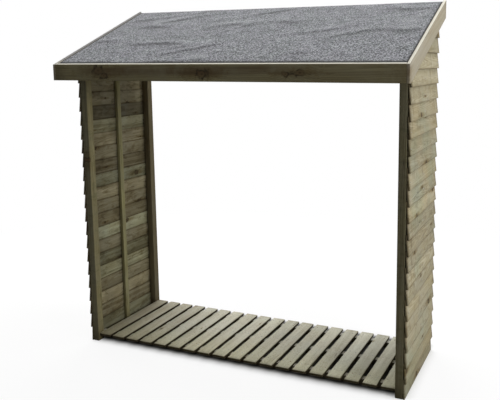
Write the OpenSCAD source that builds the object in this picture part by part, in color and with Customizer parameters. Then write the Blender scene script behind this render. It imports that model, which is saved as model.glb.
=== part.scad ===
// Log store: two clad sides, a slatted floor and a felted roof that falls to the front.
// Millimetres, Z up, front towards -Y. The origin is on the ground under the middle of the whole.

/* [Store] */
// Clear width between the side frames
inner_w = 1700; // [1300:10:2100]
// Depth of a side frame over its posts
side_d = 580; // [450:1:800]
// Height of the front edge of the roof
eaves_h = 1535; // [1200:1:1900]
// Fall of the roof in degrees
roof_pitch = 23; // [12:0.5:28]
// Reach of the roof in front of the posts
front_over = 145; // [80:1:240]

/* [Side frames] */
// Width of a post, seen from the front
post_w = 38; // [34:1:60]
// Depth of a post, seen from the side
post_d = 44; // [38:1:70]
// Radius of the eased corners of the posts
post_ease = 4; // [1:0.5:8]
// Thickness of the middle batten
batten_t = 18; // [12:1:32]
// Width of the middle batten, seen from the side
batten_w = 30; // [26:1:60]

/* [Cladding] */
// Width of a feather-edge board
board_w = 100; // [80:1:150]
// Overlap of each board on the one below
board_lap = 24.5; // [12:0.5:30]
// Thickness of a board at its lower edge
board_thick = 9; // [7:0.5:14]
// Thickness of a board at its upper edge
board_thin = 4.5; // [3:0.5:6.5]

/* [Floor] */
// Width of a floor slat
slat_w = 69; // [50:1:100]
// Thickness of a floor slat
slat_t = 14; // [12:1:28]
// Smallest gap between two slats
slat_gap = 20; // [8:1:30]
// Radius of the eased edges of the slats
slat_ease = 2; // [1:0.5:4]
// Set-back of the slats from the faces of the posts
slat_inset = 8; // [0:1:30]
// Width of a bearer
bearer_w = 32; // [28:1:70]
// Height of a bearer
bearer_h = 30; // [20:1:50]
// Set-back of the front bearer from the front ends of the slats
front_set = 60; // [40:1:90]
// Set-back of the rear bearer from the rear ends of the slats
rear_set = 29; // [0:1:60]

/* [Roof] */
// Depth of a rafter, square to the slope
rafter_h = 45; // [34:1:70]
// Width of a purlin, along the slope
purlin_w = 45; // [34:1:70]
// Thickness of a purlin, square to the slope
purlin_h = 28; // [20:1:40]
// Thickness of the roof sheet
deck_t = 11; // [8:1:18]
// Thickness of the felt
felt_t = 3; // [2:0.5:5]
// Set-down of the felt below the tops of the edge boards
felt_set = 4.5; // [2:0.5:12]
// Height of the felt turned down over the rear edge
felt_lip = 36; // [20:1:60]
// Height of the fascia boards
fascia_h = 80; // [66:1:130]
// Width of the barge boards, square to the slope
barge_w = 83; // [66:1:130]
// Thickness of the fascia and barge boards
edge_t = 14; // [10:1:24]

/* [Fits] */
// Clearance between lapped boards
board_fit = 0.3; // [0.2:0.1:1]
// Gap between the cladding and the barge boards
barge_gap = 12; // [1:0.5:20]
// Gap between the cut tops of the boards and the roof sheet
trim_gap = 2; // [1:0.5:6]

/* [Hidden] */
post_colour = [0.43, 0.39, 0.28];
board_colour = [0.62, 0.57, 0.43];
slat_colour = [0.60, 0.57, 0.50];
edge_colour = [0.40, 0.36, 0.24];
deck_colour = [0.63, 0.52, 0.36];
felt_colour = [0.45, 0.45, 0.47];

// plan of the sides and of the roof
frame_x = inner_w / 2 + post_w;
roof_d = front_over + side_d + edge_t + felt_t;
roof_front = -roof_d / 2;
roof_rear = roof_d / 2;
side_front = roof_front + front_over;
side_rear = side_front + side_d;
side_mid = side_front + side_d / 2;
deck_front = roof_front + edge_t;
deck_rear = side_rear + edge_t;

// plumb depths of the roof's layers below the top line of its edge boards
plumb = 1 / cos(roof_pitch);
deck_drop = felt_set + felt_t * plumb;
under_drop = deck_drop + deck_t * plumb;
seat_drop = under_drop + rafter_h * plumb;
barge_drop = barge_w * plumb;
function roof_z(y) = eaves_h + (y - roof_front) * tan(roof_pitch);

// courses of the cladding, each leaning on the one below
course = board_w - board_lap;
courses = ceil((roof_z(side_rear) - under_drop - trim_gap - board_lap) / course);
lap_at = course / board_w;
lap_thick = board_thick * (1 - lap_at) + board_thin * lap_at;
function lean(k) = k == 0 ? 0
    : max((1 - lap_at) * lean(k - 1) + lap_thick + board_fit, (board_thin + board_fit) / lap_at);
low_end = round(courses / 3);
mid_end = round(2 * courses / 3);

// barge boards: half the width between them, and the shortest level cut at a toe
least_toe = 1;
barge_x = frame_x + lean(courses - 1) + board_thick + barge_gap;

// floor
front_bearer_y = side_front + slat_inset + front_set;
rear_bearer_y = side_rear - slat_inset - rear_set - bearer_w;
slats = floor((inner_w + slat_gap) / (slat_w + slat_gap));
slat_step = (inner_w - slat_w) / (slats - 1);
slat_len = side_d - 2 * slat_inset;
function two(i) = i < 10 ? str("0", i) : str(i);
function slat_name(i) = str("floor_slat_", two(i));

$fn = 48;

// a plan or section with eased corners
module eased(w, d, r) {
    translate([r, 0]) square([w - 2 * r, d]);
    translate([0, r]) square([w, d - 2 * r]);
    for (x = [r, w - r], y = [r, d - r]) translate([x, y]) circle(r);
}

// a profile drawn in depth and height, run across the store from x0 to x1
module across(x0, x1) {
    translate([x0, 0, 0]) rotate([90, 0, 90]) linear_extrude(x1 - x0) children();
}

// the slope between two plumb depths below the top line of the roof
module slope_strip(y0, y1, top, bottom) {
    polygon([
        [y0, roof_z(y0) - bottom], [y1, roof_z(y1) - bottom],
        [y1, roof_z(y1) - top], [y0, roof_z(y0) - top]
    ]);
}

// everything from the ground up to a plumb depth below the top line of the roof
module below_slope(y0, y1, drop) {
    polygon([[y0, 0], [y1, 0], [y1, roof_z(y1) - drop], [y0, roof_z(y0) - drop]]);
}

// the pieces of the right side; the left side is their mirror image
module post(y) {
    color(post_colour) intersection() {
        translate([inner_w / 2, y, 0]) linear_extrude(roof_z(y + post_d)) eased(post_w, post_d, post_ease);
        across(inner_w / 2, frame_x) below_slope(y, y + post_d, seat_drop);
    }
}

module middle_batten() {
    color(post_colour) across(frame_x - batten_t, frame_x)
        below_slope(side_mid - batten_w / 2, side_mid + batten_w / 2, seat_drop);
}

module board(k) {
    heel = lean(k);
    translate([frame_x, side_rear, k * course]) rotate([90, 0, 0]) linear_extrude(side_d)
        polygon([[heel, 0], [heel + board_thick, 0], [board_thin, board_w], [0, board_w]]);
}

module boards(first, last) {
    trim_from = roof_z(side_front) - under_drop - trim_gap - board_w;
    color(board_colour) for (k = [first:last]) {
        if (k * course < trim_from) {
            board(k);
        } else {
            intersection() {
                board(k);
                across(frame_x, barge_x) below_slope(side_front, side_rear, under_drop + trim_gap);
            }
        }
    }
}

module rafter() {
    color(post_colour) across(inner_w / 2, frame_x)
        slope_strip(deck_front, side_rear, under_drop, seat_drop);
}

// a barge board, its toe cut level with the foot of the fascia
module barge() {
    toe = roof_front + max(least_toe, (barge_drop - fascia_h) / tan(roof_pitch));
    color(edge_colour) across(barge_x, barge_x + edge_t) polygon([
        [roof_front, roof_z(toe) - barge_drop], [toe, roof_z(toe) - barge_drop],
        [roof_rear, roof_z(roof_rear) - barge_drop], [roof_rear, roof_z(roof_rear)],
        [roof_front, eaves_h]
    ]);
}

module left() {
    mirror([1, 0, 0]) children();
}

// a batten laid flat under the roof sheet, with the front of its top edge at depth y
module purlin(y) {
    color(post_colour) translate([-inner_w / 2, y, roof_z(y) - under_drop]) rotate([roof_pitch, 0, 0])
        translate([0, 0, -purlin_h]) cube([inner_w, purlin_w, purlin_h]);
}

module roof_deck() {
    color(deck_colour) across(-barge_x, barge_x)
        slope_strip(deck_front, deck_rear, deck_drop, under_drop);
}

// the felt lies on the sheet and turns down over its rear edge
module roof_felt() {
    lip = roof_z(deck_rear) - deck_drop - felt_lip;
    color(felt_colour) across(-barge_x, barge_x) {
        slope_strip(deck_front, roof_rear, felt_set, deck_drop);
        polygon([
            [deck_rear, lip], [roof_rear, lip],
            [roof_rear, roof_z(roof_rear) - felt_set], [deck_rear, roof_z(deck_rear) - felt_set]
        ]);
    }
}

module front_fascia() {
    foot = eaves_h - fascia_h;
    color(edge_colour) across(-barge_x, barge_x) polygon([
        [roof_front, foot], [deck_front, foot],
        [deck_front, roof_z(deck_front)], [roof_front, eaves_h]
    ]);
}

module rear_fascia() {
    foot = roof_z(side_rear) - under_drop - fascia_h;
    color(edge_colour) across(-barge_x, barge_x) polygon([
        [side_rear, foot], [deck_rear, foot],
        [deck_rear, roof_z(deck_rear) - under_drop], [side_rear, roof_z(side_rear) - under_drop]
    ]);
}

// a bearer on the ground from its front face at y, reaching reach to each side
module bearer(y, reach) {
    color(post_colour) translate([-reach, y, 0]) cube([2 * reach, bearer_w, bearer_h]);
}

module slat(i) {
    color(slat_colour)
        translate([(i - 1) * slat_step - inner_w / 2, side_rear - slat_inset, bearer_h])
        rotate([90, 0, 0]) linear_extrude(slat_len) eased(slat_w, slat_t, slat_ease);
}

left() post(side_front);  // left_front_post
left() middle_batten();  // left_middle_batten
left() post(side_rear - post_d);  // left_rear_post
post(side_front);  // right_front_post
middle_batten();  // right_middle_batten
post(side_rear - post_d);  // right_rear_post
left() boards(0, low_end - 1);  // left_lower_boards
left() boards(low_end, mid_end - 1);  // left_middle_boards
left() boards(mid_end, courses - 1);  // left_upper_boards
boards(0, low_end - 1);  // right_lower_boards
boards(low_end, mid_end - 1);  // right_middle_boards
boards(mid_end, courses - 1);  // right_upper_boards
left() rafter();  // left_rafter
rafter();  // right_rafter
purlin(deck_front);  // front_purlin
purlin(side_mid - purlin_w * cos(roof_pitch) / 2);  // middle_purlin
purlin(side_rear - purlin_w * cos(roof_pitch) - purlin_h * sin(roof_pitch));  // rear_purlin
roof_deck();
roof_felt();
front_fascia();
rear_fascia();
left() barge();  // left_barge
barge();  // right_barge
bearer(front_bearer_y, frame_x);  // front_bearer
bearer((front_bearer_y + rear_bearer_y) / 2, frame_x - batten_t);  // middle_bearer
bearer(rear_bearer_y, inner_w / 2);  // rear_bearer
for (i = [1:slats]) slat(i);
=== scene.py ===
import math
import random

import bmesh
import bpy
from mathutils import Matrix, Vector, noise


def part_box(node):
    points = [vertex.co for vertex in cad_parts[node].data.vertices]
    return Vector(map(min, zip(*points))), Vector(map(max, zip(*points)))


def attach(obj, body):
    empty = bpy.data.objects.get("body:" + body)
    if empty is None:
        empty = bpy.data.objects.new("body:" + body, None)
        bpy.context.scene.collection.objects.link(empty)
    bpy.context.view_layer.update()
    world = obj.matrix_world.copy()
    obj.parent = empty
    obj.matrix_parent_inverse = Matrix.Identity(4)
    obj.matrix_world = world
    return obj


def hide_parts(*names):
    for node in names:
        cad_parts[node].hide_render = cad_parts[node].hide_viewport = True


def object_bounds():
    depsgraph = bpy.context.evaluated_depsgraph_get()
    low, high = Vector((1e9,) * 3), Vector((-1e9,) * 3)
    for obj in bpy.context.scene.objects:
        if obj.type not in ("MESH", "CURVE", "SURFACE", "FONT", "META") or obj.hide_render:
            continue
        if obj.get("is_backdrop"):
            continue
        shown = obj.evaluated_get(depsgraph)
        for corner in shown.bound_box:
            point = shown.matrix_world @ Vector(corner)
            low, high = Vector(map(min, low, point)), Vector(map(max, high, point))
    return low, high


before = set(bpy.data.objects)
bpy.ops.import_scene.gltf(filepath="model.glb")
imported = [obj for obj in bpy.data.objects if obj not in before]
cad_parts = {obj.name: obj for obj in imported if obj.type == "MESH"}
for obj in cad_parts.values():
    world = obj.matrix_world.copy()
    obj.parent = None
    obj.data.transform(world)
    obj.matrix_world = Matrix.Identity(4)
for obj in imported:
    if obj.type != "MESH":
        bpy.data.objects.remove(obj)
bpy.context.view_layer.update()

scene = bpy.context.scene
scene.view_settings.view_transform = "Standard"
print("frame loaded")

# the slope that the posts, boards and roof share, in metres as in the part's source
roofLine = {"pitch": math.radians(23), "front": -0.371, "eaves": 1.535,
            "feltSet": 0.0045, "feltThick": 0.003, "deckThick": 0.011, "rafterDeep": 0.045}
plumb = 1 / math.cos(roofLine["pitch"])
climb = math.tan(roofLine["pitch"])
deckDrop = roofLine["feltSet"] + roofLine["feltThick"] * plumb
underDrop = deckDrop + roofLine["deckThick"] * plumb
seatDrop = underDrop + roofLine["rafterDeep"] * plumb
slopeAlong = Vector((0, math.cos(roofLine["pitch"]), math.sin(roofLine["pitch"])))
slopeUp = Vector((0, -math.sin(roofLine["pitch"]), math.cos(roofLine["pitch"])))


def roofZ(y):
    return roofLine["eaves"] + (y - roofLine["front"]) * climb


# camera at the photograph's place; the photograph is cropped off its own middle, hence the shift
view = {"spot": (1.5711, -3.0086, 1.5429), "turn": 22.275, "dip": 8.063, "roll": -0.209,
        "lens": 47.209, "sensor": 36, "shiftSide": -0.12, "shiftUp": -0.09}
cameraData = bpy.data.cameras.new("camera")
cameraData.sensor_width = view["sensor"]
cameraData.sensor_fit = "HORIZONTAL"
cameraData.lens = view["lens"]
cameraData.shift_x = view["shiftSide"]
cameraData.shift_y = view["shiftUp"]
camera = bpy.data.objects.new("camera", cameraData)
scene.collection.objects.link(camera)
camera.matrix_world = (Matrix.Translation(view["spot"])
                       @ Matrix.Rotation(math.radians(view["turn"]), 4, "Z")
                       @ Matrix.Rotation(math.radians(90 - view["dip"]), 4, "X")
                       @ Matrix.Rotation(math.radians(view["roll"]), 4, "Z"))
scene.camera = camera


# small helpers for node trees
def feed(tree, socket, value):
    if isinstance(value, bpy.types.NodeSocket):
        tree.links.new(value, socket)
    else:
        socket.default_value = value


def calc(tree, how, a, b=0.0, c=0.0):
    node = tree.nodes.new("ShaderNodeMath")
    node.operation = how
    for socket, value in zip(node.inputs, (a, b, c)):
        feed(tree, socket, value)
    return node.outputs[0]


def times(tree, a, b):
    return calc(tree, "MULTIPLY", a, b)


def scaled(tree, value, by, plus):
    return calc(tree, "MULTIPLY_ADD", value, by, plus)


def larger(tree, a, b):
    return calc(tree, "MAXIMUM", a, b)


def bell(tree, value, fall):  # 1 at nought, dying away as the value grows
    return calc(tree, "EXPONENT", times(tree, calc(tree, "POWER", value, 2.0), fall))


def ease(tree, value, low, high, start=0.0, end=1.0):
    node = tree.nodes.new("ShaderNodeMapRange")
    node.interpolation_type = "SMOOTHSTEP"
    for name, given in (("Value", value), ("From Min", low), ("From Max", high),
                        ("To Min", start), ("To Max", end)):
        feed(tree, node.inputs[name], given)
    return node.outputs[0]


def fade(tree, value, low, high):
    return ease(tree, value, low, high, 1.0, 0.0)


def band(tree, value, rise, drop):  # up over one range and down over the next
    return times(tree, ease(tree, value, *rise), fade(tree, value, *drop))


def split(tree, vector):
    node = tree.nodes.new("ShaderNodeSeparateXYZ")
    feed(tree, node.inputs[0], vector)
    return node.outputs


def stack(tree, x, y, z=0.0):
    node = tree.nodes.new("ShaderNodeCombineXYZ")
    for socket, value in zip(node.inputs, (x, y, z)):
        feed(tree, socket, value)
    return node.outputs[0]


def stretched(tree, parts, *rates):
    return stack(tree, *(times(tree, part, rate) for part, rate in zip(parts, rates)))


def vecMath(tree, how, a, b=(0, 0, 0)):
    node = tree.nodes.new("ShaderNodeVectorMath")
    node.operation = how
    feed(tree, node.inputs[0], a)
    feed(tree, node.inputs[1], b)
    return node.outputs["Value" if how == "LENGTH" else "Vector"]


def cloud(tree, vector, scale, detail=2.0, rough=0.5, bend=0.0):
    node = tree.nodes.new("ShaderNodeTexNoise")
    for name, given in (("Vector", vector), ("Scale", scale), ("Detail", detail),
                        ("Roughness", rough), ("Distortion", bend)):
        feed(tree, node.inputs[name], given)
    return node.outputs[0]


def swing(tree, *cloudValues):  # a cloud about nought
    return calc(tree, "SUBTRACT", cloud(tree, *cloudValues), 0.5)


def cellsOf(tree, vector, scale, flat=False, scatter=1.0):
    node = tree.nodes.new("ShaderNodeTexVoronoi")
    node.voronoi_dimensions = "2D" if flat else "3D"
    node.inputs["Scale"].default_value = scale
    node.inputs["Randomness"].default_value = scatter
    tree.links.new(vector, node.inputs["Vector"])
    return node.outputs


def tint(tree, amount, a, b, how="MIX"):
    node = tree.nodes.new("ShaderNodeMix")
    node.data_type = "RGBA"
    node.blend_type = how
    feed(tree, node.inputs[0], amount)
    for socket, value in ((node.inputs[6], a), (node.inputs[7], b)):  # the node's two colours
        feed(tree, socket, value if isinstance(value, bpy.types.NodeSocket) else (*value, 1.0))
    return node.outputs[2]


def stained(tree, colour, mask, amount, stain, how="MULTIPLY"):
    return tint(tree, times(tree, mask, amount), colour, stain, how)


def grey(tree, value):
    return stack(tree, value, value, value)


def newGroup(name, inputs, masks):
    tree = bpy.data.node_groups.new(name, "ShaderNodeTree")
    for label, kind in inputs.items():
        tree.interface.new_socket(label, in_out="INPUT", socket_type="NodeSocket" + kind)
    for label in masks:
        tree.interface.new_socket(label, in_out="OUTPUT", socket_type="NodeSocketFloat")
    return tree, tree.nodes.new("NodeGroupInput").outputs, tree.nodes.new("NodeGroupOutput").inputs


def putOut(tree, out, **values):
    for label, value in values.items():
        tree.links.new(value, out[label])


def useGroup(tree, group, **given):
    node = tree.nodes.new("ShaderNodeGroup")
    node.node_tree = group
    for name, value in given.items():
        feed(tree, node.inputs[name], value)
    return node.outputs


def newMaterial(name):
    material = bpy.data.materials.new(name)
    material.use_nodes = True
    tree = material.node_tree
    return material, tree, tree.nodes["Principled BSDF"]


def bumped(tree, shader, height, depth):
    node = tree.nodes.new("ShaderNodeBump")
    node.inputs["Strength"].default_value = 1.0
    node.inputs["Distance"].default_value = depth
    tree.links.new(height, node.inputs["Height"])
    tree.links.new(node.outputs[0], shader.inputs["Normal"])


def mixShaders(tree, amount, first, second):
    node = tree.nodes.new("ShaderNodeMixShader")
    for socket, value in zip(node.inputs, (amount, first, second)):
        tree.links.new(value, socket)
    return node.outputs[0]


def attribute(tree, name):
    node = tree.nodes.new("ShaderNodeAttribute")
    node.attribute_name = name
    return node.outputs["Vector"]


def objectPoint(tree):
    return tree.nodes.new("ShaderNodeTexCoord").outputs["Object"]


def faceNormal(tree):
    return split(tree, tree.nodes.new("ShaderNodeNewGeometry").outputs["Normal"])


# what every timber shares: rings round a pith, knots, streaks, fibres, saw marks and drying cracks
# a Grain pair is how fine a pattern is along and across the board, a Cloud is a noise's scale,
# detail, roughness and bend, other pairs are a mask's range or a factor and what is added to it
figureSet = {"knotStep": (2.6, 8.0),  # places for a knot to a metre, along and across
             "knotScatter": 0.9, "knotVary": (1.1, 0.45), "knotLong": 0.75, "swirlLong": 0.2,
             "raggedGrain": (55.0, 130.0), "ragged": (1.1, 0.45), "core": (0.72, 1.0),
             "rimIn": (0.7, 1.0), "rimOut": (1.0, 1.5), "swirl": (0.6, 2.2),
             "haloFall": -0.14, "haloBend": 0.009, "swayGrain": (1.5, 5.0), "swayBend": 0.022,
             "lateRise": (0.25, 0.88), "lateDrop": (0.9, 1.0), "streakGrain": (1.1, 46.0),
             "streakCloud": (1.0, 3.0, 0.6, 0.2), "fibreGrain": (11.0, 620.0),
             "fibreCloud": (1.0, 2.0, 0.6), "sawGrain": (330.0, 14.0), "plainCloud": (1.0, 1.0),
             "crackGrain": (1.6, 85.0), "crackHalf": 0.011, "crackedGrain": (2.4, 16.0),
             "cracked": (0.55, 0.7),
             "fibreHigh": 0.4, "lateHigh": 0.35, "crackDeep": 1.3, "knotHigh": 0.3}
figure, given, out = newGroup(
    "timberFigure",
    {"Grain": "Vector", "Knots": "Float", "KnotSize": "Float", "RingGap": "Float", "Lift": "Float"},
    ("Late", "Streak", "Fibre", "Saw", "Knot", "Rim", "Swirl", "Crack", "Height"))
gx, gy, gz = split(figure, given["Grain"])
knotPoint = stretched(figure, (gx, gy), *figureSet["knotStep"])
knotCells = cellsOf(figure, knotPoint, 1.0, flat=True, scatter=figureSet["knotScatter"])
offX, offY = split(figure, vecMath(figure, "SUBTRACT", knotPoint, knotCells["Position"]))[:2]
knotLuck, sizeLuck = split(figure, knotCells["Color"])[:2]
knotSize = times(figure, given["KnotSize"], scaled(figure, sizeLuck, *figureSet["knotVary"]))
isKnot = calc(figure, "LESS_THAN", knotLuck, given["Knots"])


def along(pair):  # the grain's own coordinates, drawn out along the board
    return stretched(figure, (gx, gy, gz), pair[0], pair[1], pair[1])


ragged = scaled(figure, cloud(figure, along(figureSet["raggedGrain"]), 1.0), *figureSet["ragged"])


def knotRatio(stretch):  # distance from the knot in knot sizes, drawn out along the board
    stepX, stepY = figureSet["knotStep"]
    gap = vecMath(figure, "LENGTH", stretched(figure, (offX, offY), stretch / stepX, 1 / stepY))
    return times(figure, calc(figure, "DIVIDE", gap, knotSize), ragged)


ratio = knotRatio(figureSet["knotLong"])
core = times(figure, isKnot, fade(figure, ratio, *figureSet["core"]))
rim = band(figure, ratio, figureSet["rimIn"], figureSet["rimOut"])
rim = times(figure, isKnot, rim)
swirl = fade(figure, knotRatio(figureSet["swirlLong"]), *figureSet["swirl"])
swirl = times(figure, isKnot, swirl)
halo = times(figure, isKnot, bell(figure, ratio, figureSet["haloFall"]))
sway = swing(figure, along(figureSet["swayGrain"]), 1.0)
radius = vecMath(figure, "LENGTH", stack(figure, 0.0, gy, gz))
radius = scaled(figure, sway, figureSet["swayBend"], radius)
radius = scaled(figure, halo, figureSet["haloBend"], radius)
radius = calc(figure, "ADD", radius, given["Lift"])
ring = calc(figure, "FRACT", calc(figure, "DIVIDE", radius, given["RingGap"]))
late = band(figure, ring, figureSet["lateRise"], figureSet["lateDrop"])
streak = cloud(figure, along(figureSet["streakGrain"]), *figureSet["streakCloud"])
fibre = cloud(figure, along(figureSet["fibreGrain"]), *figureSet["fibreCloud"])
saw = cloud(figure, along(figureSet["sawGrain"]), *figureSet["plainCloud"])
crackLine = swing(figure, along(figureSet["crackGrain"]), *figureSet["plainCloud"])
crackLine = calc(figure, "ABSOLUTE", crackLine)
cracked = cloud(figure, along(figureSet["crackedGrain"]), *figureSet["plainCloud"])
cracked = ease(figure, cracked, *figureSet["cracked"])
crack = times(figure, fade(figure, crackLine, 0.0, figureSet["crackHalf"]), cracked)
height = calc(figure, "ADD", times(figure, fibre, figureSet["fibreHigh"]),
              times(figure, late, figureSet["lateHigh"]))
height = calc(figure, "SUBTRACT", height, times(figure, crack, figureSet["crackDeep"]))
height = scaled(figure, core, figureSet["knotHigh"], height)
putOut(figure, out, Late=late, Streak=streak, Fibre=fibre, Saw=saw, Knot=core, Rim=rim,
       Swirl=swirl, Crack=crack, Height=height)

# wear from standing outdoors: blotches, smudges, runs of water, dirty ends and edges, splashed feet
wearSet = {"blotchCloud": (5.5, 4.0, 0.62, 0.4), "blotch": (0.38, 0.66),
           "smudgeRates": (14.0, 14.0, 34.0), "smudgeCloud": (1.0, 5.0, 0.66, 0.5),
           "smudge": (0.5, 0.66), "runRates": (42.0, 42.0, 2.6), "runCloud": (1.0, 3.0, 0.6),
           "runs": (0.56, 0.74), "roughScale": 60.0, "endRough": 0.1, "ends": (0.9, 1.0),
           "edgeRough": 0.3, "edges": (0.82, 1.0), "splashRough": 0.14, "splash": (0.0, 0.2)}
wear, given, out = newGroup("yardWear", {"Point": "Vector", "Place": "Vector"},
                            ("Blotch", "Smudge", "Runs", "Ends", "Edges", "Splash"))
spot = split(wear, given["Point"])
ux, uy = split(wear, given["Place"])[:2]
blotch = cloud(wear, given["Point"], *wearSet["blotchCloud"])
smudge = cloud(wear, stretched(wear, spot, *wearSet["smudgeRates"]), *wearSet["smudgeCloud"])
runs = cloud(wear, stretched(wear, spot, *wearSet["runRates"]), *wearSet["runCloud"])
rough = swing(wear, given["Point"], wearSet["roughScale"])
ends = scaled(wear, rough, wearSet["endRough"], calc(wear, "ABSOLUTE", ux))
edges = scaled(wear, rough, wearSet["edgeRough"], calc(wear, "ABSOLUTE", uy))
splash = scaled(wear, rough, wearSet["splashRough"], spot["Z"])
putOut(wear, out, Blotch=ease(wear, blotch, *wearSet["blotch"]),
       Smudge=ease(wear, smudge, *wearSet["smudge"]), Runs=ease(wear, runs, *wearSet["runs"]),
       Ends=ease(wear, ends, *wearSet["ends"]), Edges=ease(wear, edges, *wearSet["edges"]),
       Splash=fade(wear, splash, *wearSet["splash"]))

# single knots, set where the photograph shows them
ownKnotSet = {"knotLong": 0.68, "stainLong": 0.2, "unevenCloud": (38.0, 3.0, 0.6),
              "uneven": (1.9, 0.05), "ringFall": -0.12, "ringLift": 0.02, "stain": (0.5, 2.0),
              "stainBy": 0.6, "core": (0.7, 1.05), "coreBy": 0.42, "barkIn": (0.55, 0.9),
              "barkOut": (1.0, 1.5), "barkCloud": (52.0, 1.0), "barkGaps": (0.36, 0.6),
              "barkLeast": 0.3, "pith": (0.1, 0.4), "pithBy": 0.6, "barkBy": 0.88}


def nearestKnot(tree, point, spots, stretch):  # distance to the nearest knot, in that knot's size
    nearest = None
    for spot in spots:
        away = vecMath(tree, "SUBTRACT", point, spot[:3])
        away = vecMath(tree, "LENGTH", vecMath(tree, "MULTIPLY", away, (stretch, 0.0, 1.0)))
        away = calc(tree, "DIVIDE", away, spot[3])
        nearest = away if nearest is None else calc(tree, "MINIMUM", nearest, away)
    return nearest


def ownKnotColours(tree, colour, look, point, knot, stain):
    colour = stained(tree, colour, fade(tree, stain, *ownKnotSet["stain"]), ownKnotSet["stainBy"],
                     look["swirlTint"])
    colour = stained(tree, colour, fade(tree, knot, *ownKnotSet["core"]), ownKnotSet["coreBy"],
                     look["knotTint"], "MIX")
    bark = band(tree, knot, ownKnotSet["barkIn"], ownKnotSet["barkOut"])
    broken = cloud(tree, point, *ownKnotSet["barkCloud"])
    broken = ease(tree, broken, *ownKnotSet["barkGaps"], ownKnotSet["barkLeast"], 1.0)
    bark = times(tree, bark, broken)
    pith = ease(tree, knot, *ownKnotSet["pith"], ownKnotSet["pithBy"], 0.0)
    dark = larger(tree, bark, pith)
    return stained(tree, colour, dark, ownKnotSet["barkBy"], look["rimTint"], "MIX")


# dark heartwood along the middle of a board, paler towards its ends
heartSet = {"bendRate": 2.0, "bendCloud": (1.0, 3.0), "bend": 1.3, "middle": 0.15,
            "half": (0.25, 0.7), "streak": (0.2, 0.62), "streakLeast": 0.45,
            "start": (-0.78, -0.66), "end": (0.2, 0.62), "endLeast": 0.2}


def heartwood(tree, px, uy, streak):
    run = stack(tree, times(tree, px, heartSet["bendRate"]), 0.0)
    bend = swing(tree, run, *heartSet["bendCloud"])
    away = scaled(tree, bend, heartSet["bend"], calc(tree, "SUBTRACT", uy, heartSet["middle"]))
    heart = fade(tree, calc(tree, "ABSOLUTE", away), *heartSet["half"])
    for part in (ease(tree, streak, *heartSet["streak"], heartSet["streakLeast"], 1.0),
                 ease(tree, px, *heartSet["start"]),
                 ease(tree, px, *heartSet["end"], 1.0, heartSet["endLeast"])):
        heart = times(tree, heart, part)
    return heart


# the clad walls, mouldy and dim inside, darkened towards the top by painted shade under the roof,
# washed and damp outside
# the ranges of the ledge, foot and lap marks lie across a board, from -1 at its foot to 1 at its
# top
wallSet = {"inner": (0.2, -0.2), "shareUp": (0.15, 0.75), "footShare": 0.5, "dimming": (0.3, 1.5),
           "smudgeIn": 0.7, "smudgeOut": 0.42, "gaps": (0.35, 0.6), "streak": (0.42, 0.6),
           "streakLuck": 41.3, "streakOdds": (0.5, 0.6), "streakBy": (0.12, 0.46),
           "ledgeTop": (0.91, 0.99), "ledgeTopBy": 0.6, "ledge": (-0.36, -0.48),
           "ledgeScale": 11.0, "ledgeLeast": 0.5, "ledgeBy": 0.95, "tintLuck": 23.7,
           "ruddy": (0.76, 0.82), "ruddyBy": 0.7, "mossy": (0.4, 0.34), "mossyBy": 0.9,
           "dripFoot": (-0.985, -0.88), "dripTop": (0.36, 0.52), "dripTopBy": 0.7, "dripBy": 0.42,
           "lap": (0.43, 0.5), "lapScale": 9.0, "lapLeast": 0.35, "lapBy": 0.7,
           "greyCloud": (6.5, 3.0, 0.55), "greyed": (0.46, 0.6), "greyedBy": 0.36,
           "speckScale": 58.0, "speckRough": 160.0, "speckVary": (1.6, 0.2), "speck": (0.36, 0.2),
           "speckOdds": (0.5, 0.75), "mouldScale": 8.0, "mould": (0.5, 0.62),
           "mouldShare": (0.65, 0.35), "mouldBy": 0.9, "dampScale": 3.1, "damp": (0.45, 0.6),
           "dampBy": 0.8}


def luckOf(tree, tone, spin):  # one more chance for each board, drawn from its tone
    return calc(tree, "FRACT", times(tree, tone, spin))


def outward(tree, nx, px):  # 1 where a face looks out from the store, -1 where it looks in
    return times(tree, nx, calc(tree, "SIGN", px))


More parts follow.
